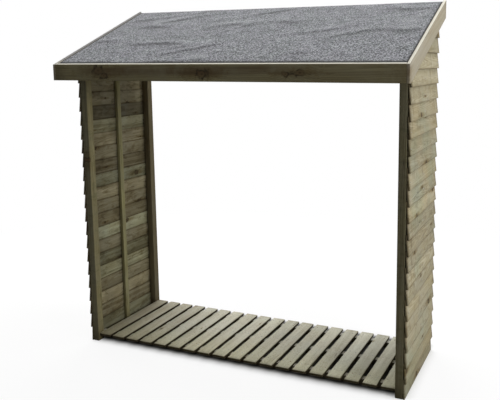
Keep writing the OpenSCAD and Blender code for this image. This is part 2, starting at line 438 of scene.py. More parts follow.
def wallStains(tree, colour, look, fig, worn, inner, outer, uy, tone, point):
    def patchy(scale, name):
        return ease(tree, cloud(tree, point, scale), *wallSet[name])

    def gappy(scale, least):  # lines that come and go
        return ease(tree, cloud(tree, point, scale), *wallSet["gaps"], least, 1.0)

    odds = luckOf(tree, tone, wallSet["streakLuck"])
    streaky = times(tree, ease(tree, fig["Streak"], *wallSet["streak"]),
                    ease(tree, odds, *wallSet["streakOdds"], *wallSet["streakBy"]))
    # painted shade: a dark line on an inside face just above the board below; with it, dirt along
    # each board's top edge inside
    ledge = times(tree, ease(tree, uy, *wallSet["ledge"]),
                  gappy(wallSet["ledgeScale"], wallSet["ledgeLeast"]))
    ledgeTop = times(tree, ease(tree, uy, *wallSet["ledgeTop"]), wallSet["ledgeTopBy"])
    ledge = larger(tree, ledgeTop, ledge)
    odds = luckOf(tree, tone, wallSet["tintLuck"])
    # dirt at each board's foot outside, and dirt with painted shade under the lap of the board
    # above
    dripAndLapShade = times(tree, ease(tree, uy, *wallSet["dripTop"]), wallSet["dripTopBy"])
    dripAndLapShade = larger(tree, fade(tree, uy, *wallSet["dripFoot"]), dripAndLapShade)
    # painted shadow: a broken dark line on the outside just under the lap of the board above
    lap = times(tree, ease(tree, uy, *wallSet["lap"]),
                gappy(wallSet["lapScale"], wallSet["lapLeast"]))
    greyed = ease(tree, cloud(tree, point, *wallSet["greyCloud"]), *wallSet["greyed"])
    specks = cellsOf(tree, point, wallSet["speckScale"])  # clusters of black mould
    speckSize = scaled(tree, cloud(tree, point, wallSet["speckRough"]), *wallSet["speckVary"])
    speck = ease(tree, times(tree, specks["Distance"], speckSize), *wallSet["speck"])
    speck = times(tree, speck, ease(tree, split(tree, specks["Color"])[0], *wallSet["speckOdds"]))
    mould = times(tree, speck, patchy(wallSet["mouldScale"], "mould"))
    for where, mask, amount, stain in (
            (inner, worn["Smudge"], wallSet["smudgeIn"], look["stain"]),
            (inner, streaky, 1.0, look["stain"]),
            (inner, ledge, wallSet["ledgeBy"], look["stain"]),
            (inner, ease(tree, odds, *wallSet["ruddy"]), wallSet["ruddyBy"], look["ruddy"]),
            (inner, ease(tree, odds, *wallSet["mossy"]), wallSet["mossyBy"], look["mossy"]),
            (outer, dripAndLapShade, wallSet["dripBy"], look["stain"]),
            (outer, lap, wallSet["lapBy"], look["stain"]),
            (outer, worn["Smudge"], wallSet["smudgeOut"], look["stain"]),
            (inner, greyed, wallSet["greyedBy"], look["stain"]),
            (scaled(tree, inner, *wallSet["mouldShare"]), mould, wallSet["mouldBy"], look["mould"]),
            (outer, patchy(wallSet["dampScale"], "damp"), wallSet["dampBy"], look["mossy"])):
        colour = stained(tree, colour, times(tree, where, mask), amount, stain)
    return colour


# where the marks of single pieces lie, by place or by the way a face is turned
markSet = {"warmLuck": 7.3, "flankFace": (0.75, 0.3), "flankLeast": 0.3,
           "inwardFace": (-0.4, -0.8), "knotBy": 0.8, "rimBy": 0.85, "crackBy": 0.8,
           "dustSide": (-0.9, -0.915), "dustFront": (-0.36, -0.3), "dustShare": (0.3, 0.95),
           "dustFace": (-0.3, 0.3), "crownFace": (0.6, 0.85), "crownEdge": (0.8, 0.93),
           "crownBy": 0.9, "dampSide": (-0.2, -0.86), "frontPart": (0.08, -0.2),
           "gritCloud": (130.0, 3.0, 0.7), "grit": (0.5, 0.66), "treadCloud": (7.0, 3.0, 0.6),
           "tread": (0.35, 0.6), "treadLeast": 0.35}
plainTimber = {"knots": 0.45, "knotSize": 0.008, "knotsAt": (), "ringGap": 0.0046, "ring": 0.5,
               "streak": (0.3, 0.72), "fibre": (0.3, 0.85), "grey": 0.45, "spread": 0.2,
               "warmth": 0.35, "swirl": 0.6, "heart": 0.0, "runs": 0.0, "smudge": 0.0,
               "smudgeTint": None, "splash": 0.35, "ends": 0.55, "edges": 0.2, "grit": 0.0,
               "shelter": 0.0, "inside": None, "flanks": None, "crown": None, "inward": None,
               "rough": 0.68, "roughVary": 0.2, "shine": 0.1, "bump": 0.0007, "sawn": 0.0,
               "knotTint": (0.085, 0.05, 0.024), "rimTint": (0.03, 0.022, 0.013),
               "swirlTint": (0.6, 0.5, 0.36), "warm": (1.0, 0.88, 0.7), "stain": (0.5, 0.45, 0.38)}


def timberFinish(name, **changes):
    look = dict(plainTimber, **changes)
    material, tree, shader = newMaterial(name)
    place, point = attribute(tree, "place"), objectPoint(tree)
    ux, uy, tone = split(tree, place)
    px, py, pz = split(tree, point)
    nx, ny, nz = faceNormal(tree)
    lift = 0.0
    if look["knotsAt"]:
        uneven = cloud(tree, point, *ownKnotSet["unevenCloud"])
        uneven = scaled(tree, uneven, *ownKnotSet["uneven"])
        ownKnot, ownStain = [
            times(tree, nearestKnot(tree, point, look["knotsAt"], ownKnotSet[stretch]), uneven)
            for stretch in ("knotLong", "stainLong")]
        lift = times(tree, bell(tree, ownKnot, ownKnotSet["ringFall"]), ownKnotSet["ringLift"])
    fig = useGroup(tree, figure, Grain=attribute(tree, "grain"), Knots=look["knots"],
                   KnotSize=look["knotSize"], RingGap=look["ringGap"], Lift=lift)
    worn = useGroup(tree, wear, Point=point, Place=place)

    colour = tint(tree, ease(tree, fig["Streak"], *look["streak"]), look["pale"], look["mid"])
    colour = stained(tree, colour, fig["Late"], look["ring"], look["dark"], "MIX")
    if look["heart"]:
        heart = heartwood(tree, px, uy, fig["Streak"])
        colour = stained(tree, colour, heart, look["heart"], look["heartTint"], "MIX")
    colour = stained(tree, colour, worn["Blotch"], look["grey"], look["weathered"], "MIX")
    spread, outer = look["spread"], 1.0
    if look["inside"]:
        inner = ease(tree, outward(tree, nx, px), *wallSet["inner"])
        outer = calc(tree, "SUBTRACT", 1.0, inner)
        # the boards inside differ more from each other, the lowest of them less so
        share = ease(tree, pz, *wallSet["shareUp"], wallSet["footShare"], 1.0)
        spread = scaled(tree, inner, scaled(tree, share, look["insideSpread"], -spread), spread)
        colour = wallStains(tree, colour, look, fig, worn, inner, outer, uy, tone, point)

    # each board has its own depth and warmth of colour
    depth = scaled(tree, scaled(tree, tone, 2.0, -1.0), spread, 1.0)
    depth = times(tree, depth, scaled(tree, fig["Fibre"], *look["fibre"]))
    colour = tint(tree, 1.0, colour, grey(tree, depth), "MULTIPLY")
    for mask, amount, stain in (
            (luckOf(tree, tone, markSet["warmLuck"]), look["warmth"], look["warm"]),
            (fig["Swirl"], look["swirl"], look["swirlTint"]),
            (times(tree, worn["Runs"], outer), look["runs"], look["stain"]),
            (worn["Smudge"], look["smudge"], look["smudgeTint"]),
            (times(tree, worn["Splash"], outer), look["splash"], look["stain"]),
            (worn["Ends"], look["ends"], look["stain"]),
            (worn["Edges"], look["edges"], look["stain"])):
        if amount:
            colour = stained(tree, colour, mask, amount, stain)
    if look["flanks"]:  # painted shade with dirt: the sides of a board that lies flat, darkest low down in the gaps
        lower = ease(tree, pz, look["flankTop"], look["flankFoot"], markSet["flankLeast"], 1.0)
        gapShadeAndDirtMask = times(tree, ease(tree, calc(tree, "ABSOLUTE", nz), *markSet["flankFace"]), lower)
        colour = stained(tree, colour, gapShadeAndDirtMask, 1.0, look["flanks"])
    if look["inward"]:  # painted light: faces turned to the inside of the store are lightened
        litInward = ease(tree, outward(tree, nx, px), *markSet["inwardFace"])
        colour = stained(tree, colour, litInward, 1.0, look["inward"])
    if look["knotsAt"]:
        colour = ownKnotColours(tree, colour, look, point, ownKnot, ownStain)
    colour = stained(tree, colour, fig["Knot"], markSet["knotBy"], look["knotTint"], "MIX")
    colour = stained(tree, colour, fig["Rim"], markSet["rimBy"], look["rimTint"], "MIX")
    colour = stained(tree, colour, fig["Crack"], markSet["crackBy"], look["rimTint"], "MIX")
    # inside faces take their own tint, darkened towards the top by painted shade under the roof
    if look["inside"]:
        insideShaded = tint(tree, ease(tree, pz, *wallSet["dimming"]), look["inside"], look["insideTop"])
        colour = tint(tree, inner, colour, insideShaded, "MULTIPLY")
    if look["crown"]:  # the bleached top edge, greyed where felt dust lies on the left barge
        dusty = times(tree, ease(tree, px, *markSet["dustSide"]),
                      ease(tree, py, *markSet["dustFront"], *markSet["dustShare"]))
        inmost = times(tree, dusty, ease(tree, nx, *markSet["dustFace"]))
        crown = larger(tree, ease(tree, nz, *markSet["crownFace"]), inmost)
        crown = times(tree, ease(tree, uy, *markSet["crownEdge"]), crown)
        bleached = tint(tree, dusty, look["crown"], look["dust"])
        colour = stained(tree, colour, crown, markSet["crownBy"], bleached, "MIX")
    if look["shelter"]:  # slats by the left wall stay damp and dark
        damp = ease(tree, px, *markSet["dampSide"])
        colour = stained(tree, colour, damp, look["shelter"], look["stain"])
        front = ease(tree, py, *markSet["frontPart"])
        colour = stained(tree, colour, front, 1.0, look["frontTint"])
    if look["grit"]:  # trodden dirt
        grit = ease(tree, cloud(tree, point, *markSet["gritCloud"]), *markSet["grit"])
        tread = cloud(tree, point, *markSet["treadCloud"])
        grit = times(tree, grit, ease(tree, tread, *markSet["tread"], markSet["treadLeast"], 1.0))
        colour = stained(tree, colour, grit, look["grit"], look["stain"])

    tree.links.new(colour, shader.inputs["Base Color"])
    rough = scaled(tree, fig["Streak"], look["roughVary"], look["rough"])
    tree.links.new(rough, shader.inputs["Roughness"])
    shader.inputs["Specular IOR Level"].default_value = look["shine"]
    bumped(tree, shader, scaled(tree, fig["Saw"], look["sawn"], fig["Height"]), look["bump"])
    return material


cream, feltDust = (0.84, 0.81, 0.70), (0.245, 0.242, 0.245)
postFinish = timberFinish(
    "postTimber", pale=(0.25, 0.234, 0.146), mid=(0.175, 0.16, 0.092), dark=(0.105, 0.09, 0.047),
    weathered=(0.21, 0.204, 0.15), knots=0.22, knotSize=0.006, inward=(1.5, 1.45, 1.3), runs=0.5,
    smudge=0.4, smudgeTint=(0.5, 0.56, 0.5))
# painted shade: the rear posts get a darker copy of the post timber, as their seen faces lie in
# shade
shadedRearPostFinish = timberFinish(
    "rearPostTimber", pale=(0.18, 0.16, 0.10), mid=(0.127, 0.108, 0.064), dark=(0.078, 0.06, 0.033),
    weathered=(0.15, 0.14, 0.102), warmth=0.6, knots=0.22, knotSize=0.006, splash=0.0)
battenFinish = timberFinish(
    "battenTimber", pale=(0.322, 0.3, 0.152), mid=(0.239, 0.217, 0.103), dark=(0.143, 0.124, 0.056),
    weathered=(0.248, 0.235, 0.157), knots=0.25, knotSize=0.005)
claddingFinish = timberFinish(
    "claddingBoards", pale=(0.45, 0.41, 0.29), mid=(0.34, 0.30, 0.19), dark=(0.235, 0.19, 0.105),
    weathered=(0.38, 0.365, 0.29), runs=0.6, ends=0.8, spread=0.15, knots=0.9, knotSize=0.0082,
    knotTint=(0.07, 0.046, 0.024), swirl=0.85, sawn=0.25, inside=(0.79, 0.797, 0.745),
    insideTop=(0.645, 0.65, 0.626), insideSpread=0.66, ruddy=(0.98, 0.92, 0.8),
    mossy=(0.88, 0.975, 1.0), mould=(0.34, 0.3, 0.25))
edgeFinish = timberFinish(
    "edgeBoards", pale=(0.31, 0.288, 0.172), mid=(0.225, 0.2, 0.116), dark=(0.13, 0.107, 0.058),
    weathered=(0.25, 0.237, 0.163), knots=0.2, ringGap=0.0075, heart=0.75,
    heartTint=(0.115, 0.086, 0.054), crown=cream, dust=feltDust,
    knotsAt=((-0.645, -0.371, 1.506, 0.02), (-0.612, -0.371, 1.479, 0.014),
             (-0.05, -0.371, 1.49, 0.018), (0.375, -0.371, 1.492, 0.011),
             (0.445, -0.371, 1.498, 0.015)))  # place, then size
bargeFinish = timberFinish(
    "bargeBoards", pale=(0.44, 0.405, 0.318), mid=(0.355, 0.317, 0.235), dark=(0.24, 0.194, 0.123),
    weathered=(0.375, 0.36, 0.314), crown=cream, dust=feltDust)
slatFinish = timberFinish(
    "floorSlats", pale=(0.57, 0.56, 0.468), mid=(0.458, 0.443, 0.352), dark=(0.35, 0.322, 0.236),
    weathered=(0.53, 0.533, 0.45), grey=0.7, ring=0.25, knots=0.3, knotSize=0.006, edges=0.12,
    spread=0.1, warmth=0.2, splash=0.0, ends=0.3, grit=0.6, sawn=0.2, shelter=0.72,
    frontTint=(0.97, 0.965, 0.86), flanks=(0.13, 0.11, 0.08), flankTop=0.0435, flankFoot=0.039)
# painted light: the bearers get a paler timber than the slats, so that their tops show bright in
# the gaps
brightenedBearerFinish = timberFinish(
    "floorBearers", pale=(0.74, 0.73, 0.64), mid=(0.64, 0.625, 0.53), dark=(0.48, 0.455, 0.36),
    weathered=(0.66, 0.665, 0.6), splash=0.0, edges=0.0, grit=0.3, sawn=0.3,
    flanks=(0.22, 0.19, 0.14), flankTop=0.03, flankFoot=0.027)
roofTimberFinish = timberFinish(
    "roofTimber", pale=(0.33, 0.285, 0.18), mid=(0.235, 0.195, 0.115), dark=(0.14, 0.11, 0.06),
    weathered=(0.24, 0.22, 0.16), sawn=0.2)

# mineral felt: pale and dark chips, a painted highlight on the crests, painted shade in the
# creases, and dirt with painted shade along the border
feltLook = {"base": (0.268, 0.269, 0.29), "faded": (0.248, 0.26, 0.267),
            "dark": (0.10, 0.103, 0.112), "light": (0.50, 0.505, 0.52),
            "grime": (0.05, 0.048, 0.046), "chipScale": 520.0, "fadeCloud": (9.0, 3.0, 0.6),
            "fade": (0.35, 0.65), "lightChips": (0.72, 0.95), "darkChips": (0.28, 0.08),
            "mottleCloud": (112.0, 2.0, 0.85), "mottle": (0.3, 0.7), "mottleBy": 0.71,
            "level": 1.01, "frontToRear": (-0.3, 0.3), "sharpness": (1.1, 0.72),
            "patchCloud": (14.0, 3.0, 0.6), "patch": 0.7, "crest": (0.5, 0.95), "crestBy": 0.2,
            "dip": (0.0, 0.5), "dipBy": 0.36, "rimRough": 0.012, "rimIn": 0.006,
            "rim": (0.0, 0.022), "rimBy": 0.92, "rough": (0.15, 0.8), "shine": 0.1, "bump": 0.0012,
            "relief": 7.2}
feltFinish, tree, shader = newMaterial("mineralFelt")
point = objectPoint(tree)
border, dip, crease = split(tree, attribute(tree, "place"))
chips = cellsOf(tree, point, feltLook["chipScale"])
chipLuck = split(tree, chips["Color"])[0]
fading = ease(tree, cloud(tree, point, *feltLook["fadeCloud"]), *feltLook["fade"])
colour = tint(tree, fading, feltLook["base"], feltLook["faded"])
colour = tint(tree, ease(tree, chipLuck, *feltLook["lightChips"]), colour, feltLook["light"])
colour = tint(tree, ease(tree, chipLuck, *feltLook["darkChips"]), colour, feltLook["dark"])
mottle = cloud(tree, point, *feltLook["mottleCloud"])
patch = cloud(tree, point, *feltLook["patchCloud"])
speckle = ease(tree, mottle, *feltLook["mottle"], -feltLook["mottleBy"], feltLook["mottleBy"])
# the chips are sharpest near the front
sharpness = ease(tree, split(tree, point)["Y"], *feltLook["frontToRear"], *feltLook["sharpness"])
speckle = times(tree, speckle, sharpness)
shade = calc(tree, "ADD", calc(tree, "ADD", speckle, feltLook["level"]),
             scaled(tree, patch, feltLook["patch"], -feltLook["patch"] / 2))
colour = tint(tree, 1.0, colour, grey(tree, shade), "MULTIPLY")
# dirt with painted shade along the felt's border, with a rough edge
borderDirtAndShade = calc(tree, "SUBTRACT", border, feltLook["rimIn"])
borderDirtAndShade = scaled(tree, mottle, feltLook["rimRough"], borderDirtAndShade)
# a painted highlight on the crests, painted shade on the shaded side of each crease, and dirt with
# painted shade along the border
for mask, stain in ((ease(tree, crease, *feltLook["crest"], 0.0, feltLook["crestBy"]), "light"),
                    (ease(tree, dip, *feltLook["dip"], 0.0, feltLook["dipBy"]), "grime"),
                    (ease(tree, borderDirtAndShade, *feltLook["rim"], feltLook["rimBy"], 0.0), "grime")):
    colour = tint(tree, mask, colour, feltLook[stain])
tree.links.new(colour, shader.inputs["Base Color"])
tree.links.new(scaled(tree, chipLuck, *feltLook["rough"]), shader.inputs["Roughness"])
shader.inputs["Specular IOR Level"].default_value = feltLook["shine"]
chipHeight = calc(tree, "ADD", chips["Distance"], mottle)
bumped(tree, shader, scaled(tree, crease, feltLook["relief"], chipHeight), feltLook["bump"])

# pressed strand board, seen from below: of three layers of strands, the highest shows
strandLook = {"pale": (0.42, 0.315, 0.18), "mid": (0.30, 0.205, 0.105),
              "dark": (0.165, 0.105, 0.05),
              "layers": ((18, 0.0), (-34, 3.7), (76, 8.1)),  # angle, then a shift of the pattern
              "rates": (11.0, 62.0), "toMid": (0.0, 0.6), "toPale": (0.45, 1.0),
              "rough": (0.2, 0.62), "bump": 0.0012}
strandFinish, tree, shader = newMaterial("strandBoard")
sx, sy = split(tree, objectPoint(tree))[:2]
alongRate, acrossRate = strandLook["rates"]
shown = top = None
for angle, shift in strandLook["layers"]:
    cosTurn, sinTurn = math.cos(math.radians(angle)), math.sin(math.radians(angle))
    run = calc(tree, "ADD", times(tree, sx, cosTurn), times(tree, sy, sinTurn))
    side = calc(tree, "SUBTRACT", times(tree, sy, cosTurn), times(tree, sx, sinTurn))
    spot = stack(tree, scaled(tree, run, alongRate, shift), times(tree, side, acrossRate))
    luck, height = split(tree, cellsOf(tree, spot, 1.0, flat=True)["Color"])[:2]
    if top is None:
        shown, top = luck, height
    else:
        over = calc(tree, "GREATER_THAN", height, top)
        under = calc(tree, "SUBTRACT", 1.0, over)
        shown = calc(tree, "ADD", times(tree, over, luck), times(tree, under, shown))
        top = larger(tree, height, top)
colour = tint(tree, ease(tree, shown, *strandLook["toMid"]), strandLook["dark"], strandLook["mid"])
colour = tint(tree, ease(tree, shown, *strandLook["toPale"]), colour, strandLook["pale"])
tree.links.new(colour, shader.inputs["Base Color"])
tree.links.new(scaled(tree, shown, *strandLook["rough"]), shader.inputs["Roughness"])
bumped(tree, shader, top, strandLook["bump"])

# galvanised nails, dulled, with a little rust
nailLook = {"zinc": (0.36, 0.36, 0.35), "dull": (0.20, 0.195, 0.185), "rust": (0.16, 0.075, 0.035),
            "dullScale": 240.0, "dulled": (0.35, 0.65), "rustScale": 31.0, "rusty": (0.52, 0.68),
            "metal": (-0.7, 0.8), "rough": (0.3, 0.5)}
nailFinish, tree, shader = newMaterial("galvanisedNails")
point = objectPoint(tree)
dulled = ease(tree, cloud(tree, point, nailLook["dullScale"]), *nailLook["dulled"])
rusty = ease(tree, cloud(tree, point, nailLook["rustScale"]), *nailLook["rusty"])
colour = tint(tree, rusty, tint(tree, dulled, nailLook["zinc"], nailLook["dull"]), nailLook["rust"])
tree.links.new(colour, shader.inputs["Base Color"])
tree.links.new(scaled(tree, rusty, *nailLook["metal"]), shader.inputs["Metallic"])
tree.links.new(scaled(tree, rusty, *nailLook["rough"]), shader.inputs["Roughness"])
print("finishes made")

# making a timber: a cube is sized, shaped, eased and cut along its length
timberSet = {"smoothTo": math.radians(36), "grainStart": 60, "pithAcross": 0.45,
             "pithDeep": (0.012, 0.05), "tiltAcross": 0.025, "tiltDeep": 0.05, "waveSeeds": 100,
             "outRate": 2.2, "upRate": 3.1, "upAt": 5.0}


def around(rng, most):
    return rng.uniform(-most, most)


def turned(xAxis, yAxis, zAxis, spot):
    return Matrix.Translation(spot) @ Matrix((xAxis, yAxis, zAxis)).transposed().to_4x4()


def newTimber(size, easing, cuts, shape=None, steps=2):
    bm = bmesh.new()
    bmesh.ops.create_cube(bm, size=1.0)
    bmesh.ops.scale(bm, vec=size, verts=bm.verts)
    if shape:
        for vert in bm.verts:
            vert.co = shape(vert.co)
    bmesh.ops.bevel(bm, geom=bm.edges[:], offset=easing, offset_type="OFFSET", segments=steps,
                    profile=0.5, affect="EDGES", material=-1)
    long = [edge for edge in bm.edges
            if abs((edge.verts[0].co - edge.verts[1].co).x) > size[0] / 2]
    bmesh.ops.subdivide_edges(bm, edges=long, cuts=cuts, use_grid_fill=True)
    return bm


def cutAway(bm, spot, towards):  # what lies beyond the plane comes off, and the cut is closed
    cut = bmesh.ops.bisect_plane(bm, geom=bm.verts[:] + bm.edges[:] + bm.faces[:], plane_co=spot,
                                 plane_no=towards, clear_outer=True)
    rimEdges = [piece for piece in cut["geom_cut"] if isinstance(piece, bmesh.types.BMEdge)]
    if rimEdges:
        bmesh.ops.holes_fill(bm, edges=rimEdges, sides=0)


def cutToSlope(bm, drop):
    cutAway(bm, (0, roofLine["front"], roofLine["eaves"] - drop), slopeUp)


def season(bm, matrix, size, rng):  # each board carries its own grain and tone
    grain = bm.verts.layers.float_vector.new("grain")
    place = bm.verts.layers.float_vector.new("place")
    back = matrix.inverted()
    start = rng.uniform(0, timberSet["grainStart"])
    pithY = around(rng, timberSet["pithAcross"]) * size[1]
    pithZ = rng.uniform(*timberSet["pithDeep"]) * rng.choice((-1, 1))
    tiltY = around(rng, timberSet["tiltAcross"])
    tiltZ = around(rng, timberSet["tiltDeep"])
    tone = rng.random()
    for vert in bm.verts:
        p = back @ vert.co
        vert[grain] = (p.x + start, p.y - pithY + tiltY * p.x, p.z - pithZ + tiltZ * p.x)
        vert[place] = (2 * p.x / size[0], 2 * p.y / size[1], tone)


def bent(bm, amount, rng):  # the slight bow and wave of sawn timber
    seed = rng.uniform(0, timberSet["waveSeeds"])
    for vert in bm.verts:
        p = vert.co
        outWave = noise.noise((p.x * timberSet["outRate"] + seed, 0.0, 0.0)) * amount
        upWave = noise.noise((p.x * timberSet["upRate"] - seed, timberSet["upAt"], 0.0)) * amount
        vert.co = p + Vector((0, upWave, outWave))


def finishPiece(name, parts, material, slot, *nodes):
    whole = bmesh.new()
    for bm in parts:
        mesh = bpy.data.meshes.new("part")
        bm.to_mesh(mesh)
        bm.free()
        whole.from_mesh(mesh)
        bpy.data.meshes.remove(mesh)
    mesh = bpy.data.meshes.new(name)
    for face in whole.faces:
        face.smooth = True
    whole.to_mesh(mesh)
    whole.free()
    mesh.set_sharp_from_angle(angle=timberSet["smoothTo"])
    mesh.materials.append(material)
    piece = bpy.data.objects.new(name, mesh)
    scene.collection.objects.link(piece)
    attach(piece, "root")
    if nodes:
        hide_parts(*nodes)
    return piece


def finishTimber(node, bm, matrix, size, rng, finish, slot, name=None):
    season(bm, matrix, size, rng)
    finishPiece(name or node + "_timber", [bm], finish, slot, node)


# posts and middle battens, cut at the top to sit under the rafters
upright = {"postEase": 0.004, "battenEase": 0.0015, "steps": 4, "cuts": 12, "spare": 0.02,
           "seed": 40}
uprightNodes = [f"{side}_{part}" for side in ("left", "right")
                for part in ("front_post", "middle_batten", "rear_post")]
for number, node in enumerate(uprightNodes):
    low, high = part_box(node)
    size = (high.z + upright["spare"], high.y - low.y, high.x - low.x)
    easing = upright["postEase"] if "post" in node else upright["battenEase"]
    bm = newTimber(size, easing, upright["cuts"], steps=upright["steps"])
    spot = ((low.x + high.x) / 2, (low.y + high.y) / 2, size[0] / 2)
    matrix = turned((0, 0, 1), (0, 1, 0), (-1, 0, 0), spot)
    bmesh.ops.transform(bm, matrix=matrix, verts=bm.verts)
    cutToSlope(bm, seatDrop)
    finish = shadedRearPostFinish if "rear" in node else postFinish if "post" in node else battenFinish
    rng = random.Random(upright["seed"] + number)
    finishTimber(node, bm, matrix, size, rng, finish, "post_timber")
print("uprights made")

# lapped boards of the two sides
cladding = {"wide": 0.1, "lap": 0.0245, "thick": 0.009, "thin": 0.0045, "fit": 0.0003,
            "perNode": 8, "easing": 0.0007, "cuts": 8, "trimGap": 0.002, "frameX": 0.888,
            "front": -0.226, "rear": 0.354, "wave": 0.0007, "endSlip": 0.0022, "seed": 300,
            "sideSeed": 50}
wallThirds = ("lower", "middle", "upper")
sideTurn = {"left": ((0, -1, 0), (0, 0, 1), (-1, 0, 0)), "right": ((0, 1, 0), (0, 0, 1), (1, 0, 0))}
sideSigns = (("left", -1), ("right", 1))
course = cladding["wide"] - cladding["lap"]
lapAt = course / cladding["wide"]
boardLong = cladding["rear"] - cladding["front"]
boardMid = (cladding["rear"] + cladding["front"]) / 2


def leanOf(k):  # how far the foot of a course stands out from the frame
    if k == 0:
        return 0.0
    lapThick = cladding["thick"] * (1 - lapAt) + cladding["thin"] * lapAt
    onBoard = (1 - lapAt) * leanOf(k - 1) + lapThick + cladding["fit"]
    return max(onBoard, (cladding["thin"] + cladding["fit"]) / lapAt)


def outerFace(heel, up):  # from the frame to a board's face, at a share of its height
    return heel * (1 - up) + cladding["thick"] + (cladding["thin"] - cladding["thick"]) * up


def boardShape(heel):
    def shaped(p):
        up = p.y / cladding["wide"] + 0.5
        return Vector((p.x, p.y, outerFace(heel, up) if p.z > 0 else heel * (1 - up)))
    return shaped


for side, sign in sideSigns:
    for third, name in enumerate(wallThirds):
        parts = []
        for k in range(cladding["perNode"] * third, cladding["perNode"] * (third + 1)):
            rng = random.Random(cladding["seed"] + cladding["sideSeed"] * sign + k)
            long = boardLong - rng.uniform(0, cladding["endSlip"])
            size = (long, cladding["wide"], cladding["thick"])
            bm = newTimber(size, cladding["easing"], cladding["cuts"], boardShape(leanOf(k)))
            bent(bm, 0.0 if k == 0 else cladding["wave"], rng)
            spot = (sign * cladding["frameX"], boardMid + around(rng, 0.5) * cladding["endSlip"],
                    k * course + cladding["wide"] / 2)
            matrix = turned(*sideTurn[side], spot)
            bmesh.ops.transform(bm, matrix=matrix, verts=bm.verts)
            cutToSlope(bm, underDrop + cladding["trimGap"])
            season(bm, matrix, size, rng)
            parts.append(bm)
        finishPiece(f"{side}_{name}_cladding", parts, claddingFinish, "cladding",
                    f"{side}_{name}_boards")
print("cladding made")

# floor: bearers and slats
floorSet = {"bearerEase": 0.0015, "slatEase": 0.002, "slatSteps": 3, "cuts": 10, "turn": 0.0016,
            "endSlip": 0.004, "bearerSeed": 80, "slatSeed": 120}
bearerNodes = ("front_bearer", "middle_bearer", "rear_bearer")
slatNodes = sorted(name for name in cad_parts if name.startswith("floor_slat_"))
for number, node in enumerate(bearerNodes):
    low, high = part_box(node)
    size = tuple(high - low)
    bm = newTimber(size, floorSet["bearerEase"], floorSet["cuts"])
    matrix = Matrix.Translation((low + high) / 2)
    bmesh.ops.transform(bm, matrix=matrix, verts=bm.verts)
    rng = random.Random(floorSet["bearerSeed"] + number)
    finishTimber(node, bm, matrix, size, rng, brightenedBearerFinish, "bearers")
for number, node in enumerate(slatNodes):
    rng = random.Random(floorSet["slatSeed"] + number)
    low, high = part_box(node)
    size = (high.y - low.y - rng.uniform(0, floorSet["endSlip"]), high.x - low.x, high.z - low.z)
    bm = newTimber(size, floorSet["slatEase"], floorSet["cuts"], steps=floorSet["slatSteps"])
    matrix = turned((0, 1, 0), (-1, 0, 0), (0, 0, 1), (low + high) / 2)
    if 0 < number < len(slatNodes) - 1:  # the first and last slats lie square along the posts
        matrix = matrix @ Matrix.Rotation(around(rng, 1) * floorSet["turn"], 4, "Z")
    bmesh.ops.transform(bm, matrix=matrix, verts=bm.verts)
    finishTimber(node, bm, matrix, size, rng, slatFinish, "slats", node.replace("floor_", ""))
print("floor made")

# roof timbers, fascias and barges
roofSet = {"easing": 0.0015, "edgeEase": 0.0022, "edgeSteps": 3, "cuts": 14, "fasciaCuts": 24,
           "fasciaHigh": 0.08, "bargeWide": 0.083, "purlinWide": 0.045, "purlinThick": 0.028,
           "slopeSeed": 200, "sideSeed": 3, "purlinSeed": 230, "fasciaSeed": 260}
slopeTimbers = (
    ("rafter", underDrop, roofLine["rafterDeep"], roofSet["easing"], roofTimberFinish,
     "roof_timber"),
    ("barge", 0.0, roofSet["bargeWide"], roofSet["edgeEase"], bargeFinish, "edge_boards"))


def plumbEnds(lean):  # ends cut upright on a timber that follows the slope
    return lambda p: Vector((p.x + p.y * lean, p.y, p.z))


def bevelTop(rise, sign):  # a top edge that follows the slope of the roof
    return lambda p: Vector((p.x, p.y - (rise if p.y > 0 and p.z * sign > 0 else 0.0), p.z))


for side, sign in sideSigns:
    for kind, drop, wide, easing, finish, slot in slopeTimbers:
        node = f"{side}_{kind}"
        low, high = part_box(node)
        size = ((high.y - low.y) * plumb, wide, high.x - low.x)
        bm = newTimber(size, easing, roofSet["cuts"], plumbEnds(climb * sign),
                       steps=roofSet["edgeSteps"])
        midY = (low.y + high.y) / 2
        spot = ((low.x + high.x) / 2, midY, roofZ(midY) - drop - wide * plumb / 2)
        matrix = turned(slopeAlong * sign, slopeUp, (sign, 0, 0), spot)
        bmesh.ops.transform(bm, matrix=matrix, verts=bm.verts)
        if kind == "barge":  # the toe is cut level with the foot of the fascia
            cutAway(bm, (0, 0, roofLine["eaves"] - roofSet["fasciaHigh"]), (0, 0, -1))
        rng = random.Random(roofSet["slopeSeed"] + sign * roofSet["sideSeed"] + len(kind))
        finishTimber(node, bm, matrix, size, rng, finish, slot)
for number, node in enumerate(("front_purlin", "middle_purlin", "rear_purlin")):
    low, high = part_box(node)
    size = (high.x - low.x, roofSet["purlinWide"], roofSet["purlinThick"])
    bm = newTimber(size, roofSet["easing"], roofSet["cuts"])
    matrix = turned((1, 0, 0), slopeAlong, slopeUp, (low + high) / 2)
    bmesh.ops.transform(bm, matrix=matrix, verts=bm.verts)
    rng = random.Random(roofSet["purlinSeed"] + number)
    finishTimber(node, bm, matrix, size, rng, roofTimberFinish, "roof_timber")
for node, sign in (("front_fascia", 1), ("rear_fascia", -1)):
    low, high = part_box(node)
    size = (high.x - low.x, high.z - low.z, high.y - low.y)
    bm = newTimber(size, roofSet["edgeEase"], roofSet["fasciaCuts"],
                   bevelTop(size[2] * climb, sign), steps=roofSet["edgeSteps"])
    matrix = turned((sign, 0, 0), (0, 0, 1), (0, -sign, 0), (low + high) / 2)
    bmesh.ops.transform(bm, matrix=matrix, verts=bm.verts)
    rng = random.Random(roofSet["fasciaSeed"] + sign)
    finishTimber(node, bm, matrix, size, rng, edgeFinish, "edge_boards")
for slotOf in bpy.data.objects["roof_deck"].material_slots:
    slotOf.material = strandFinish
print("roof timbers made")

